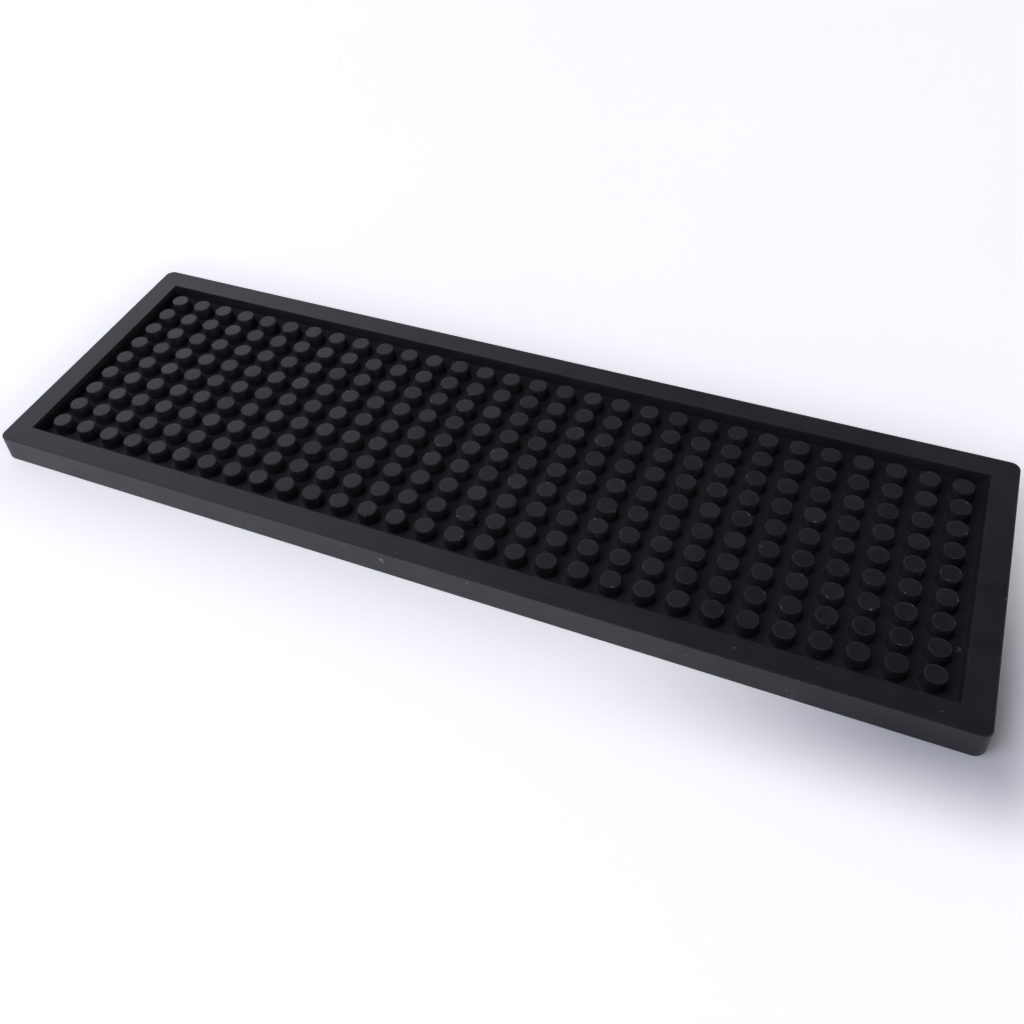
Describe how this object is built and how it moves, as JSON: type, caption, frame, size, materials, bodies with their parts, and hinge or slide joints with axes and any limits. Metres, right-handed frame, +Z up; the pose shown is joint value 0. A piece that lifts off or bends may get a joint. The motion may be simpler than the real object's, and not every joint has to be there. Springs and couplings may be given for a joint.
{
  "type": "rubber bar mat",
  "caption": "Long rectangular rubber bar mat: a flat rim around a shallow basin filled with round flat-topped studs that hold glasses above spilled liquid.",
  "frame": {"origin": "middle of the mat's flat underside, on the surface it lies on", "axes": "+X along the mat's length, +Y across its width, +Z up out of the studs"},
  "size_m": [0.322, 0.102, 0.009],
  "materials": {
    "black_rubber": "matte moulded black rubber with a fine satin skin"
  },
  "bodies": {
    "root": {"mat": "black_rubber"}
  },
  "joints": []
}
